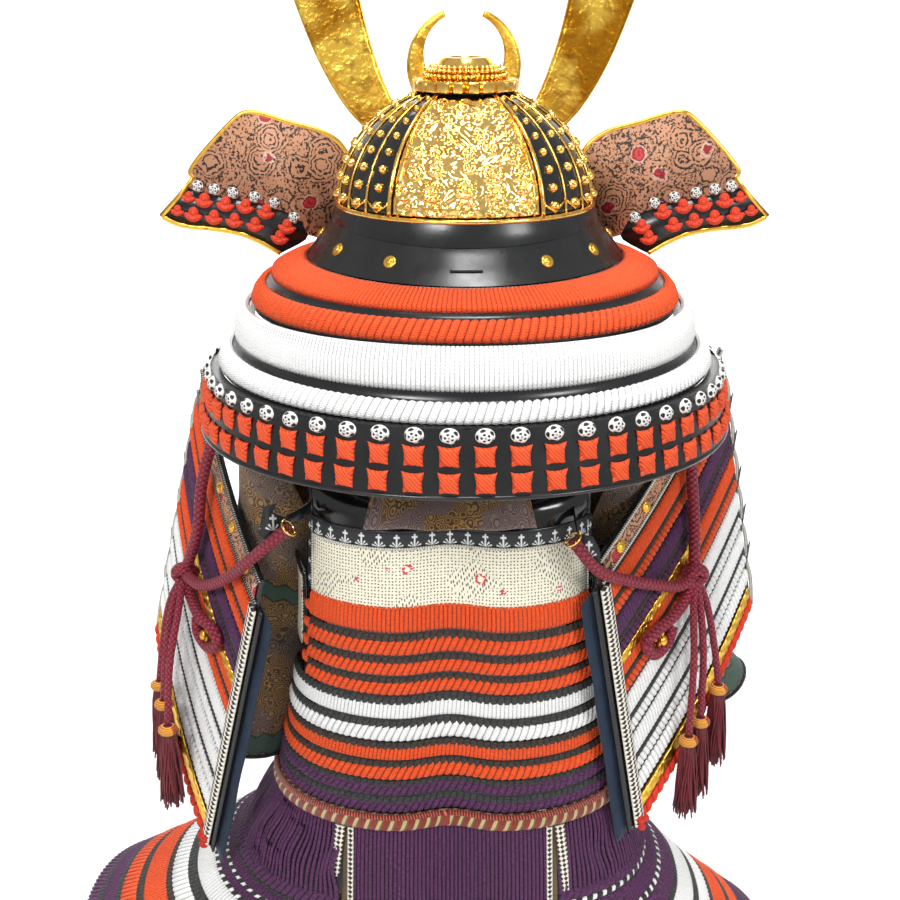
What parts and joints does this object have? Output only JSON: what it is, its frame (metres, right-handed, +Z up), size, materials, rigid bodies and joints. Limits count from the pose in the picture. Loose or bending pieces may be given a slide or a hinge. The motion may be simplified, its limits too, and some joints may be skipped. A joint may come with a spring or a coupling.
{
  "type": "samurai armour",
  "caption": "Wearable laced armour: horned helmet with neck guard, cuirass, shoulder guards, sleeves and skirt, hollow, as worn.",
  "frame": {"origin": "middle of the neck opening, level with the top edge of the back plate", "axes": "+Z up, -Y out of the armour's back, +X the wearer's right"},
  "size_m": [0.5652, 0.3368, 0.914],
  "materials": {
    "lacquer": "glossy black lacquer",
    "gilt": "polished gilt metal",
    "horn_gilt": "satin gilt metal",
    "orange_lacing": "flat braided lacing",
    "white_lacing": "flat braided lacing",
    "purple_lacing": "flat braided lacing",
    "crimson_cord": "thick round braid",
    "printed_leather": "cream, printed with dots and flowers",
    "tan_leather": "tan, printed with flowers",
    "brocade": "gold and brown brocade",
    "navy_cloth": "plain dark blue cloth",
    "rope": "stuffed patterned cloth"
  },
  "bodies": {
    "root": {"bowl": "lacquer", "relief_panel": "gilt", "crown_ring": "gilt", "brow_band": "lacquer", "visor": "lacquer", "neck_plate": "lacquer", "neck_lame_1": "orange_lacing", "neck_lame_2": "white_lacing", "neck_lame_3": "lacquer", "turnback_left": "tan_leather", "turnback_right": "tan_leather", "crest_base": "gilt", "crescent": "horn_gilt", "horn_left": "horn_gilt", "horn_right": "horn_gilt", "back_plate": "printed_leather", "back_lame_1": "orange_lacing", "back_lame_2": "orange_lacing", "chest_plate": "orange_lacing", "body_lame_1": "white_lacing", "body_lame_2": "orange_lacing", "body_lame_3": "purple_lacing", "waist_rope": "rope", "strap_left": "lacquer", "strap_right": "lacquer", "neck_pad": "brocade", "guard_cap_left": "tan_leather", "guard_lame_left_1": "orange_lacing", "guard_lame_left_2": "purple_lacing", "guard_lame_left_3": "orange_lacing", "guard_lame_left_4": "white_lacing", "guard_lame_left_5": "white_lacing", "guard_lame_left_6": "white_lacing", "guard_lining_left": "navy_cloth", "guard_cap_right": "tan_leather", "guard_lame_right_1": "orange_lacing", "guard_lame_right_2": "purple_lacing", "guard_lame_right_3": "orange_lacing", "guard_lame_right_4": "white_lacing", "guard_lame_right_5": "white_lacing", "guard_lame_right_6": "white_lacing", "guard_lining_right": "navy_cloth", "guard_cord_left": "crimson_cord", "tassel_left_1": "crimson_cord", "tassel_left_2": "crimson_cord", "tassel_left_3": "crimson_cord", "guard_cord_right": "crimson_cord", "tassel_right_1": "crimson_cord", "tassel_right_2": "crimson_cord", "tassel_right_3": "crimson_cord", "sleeve_left": "brocade", "sleeve_right": "brocade", "curtain_rear": "purple_lacing", "panel_rear": "purple_lacing", "curtain_right": "purple_lacing", "panel_right": "purple_lacing", "curtain_front": "purple_lacing", "panel_front": "purple_lacing", "curtain_left": "purple_lacing", "panel_left": "purple_lacing"}
  },
  "joints": []
}
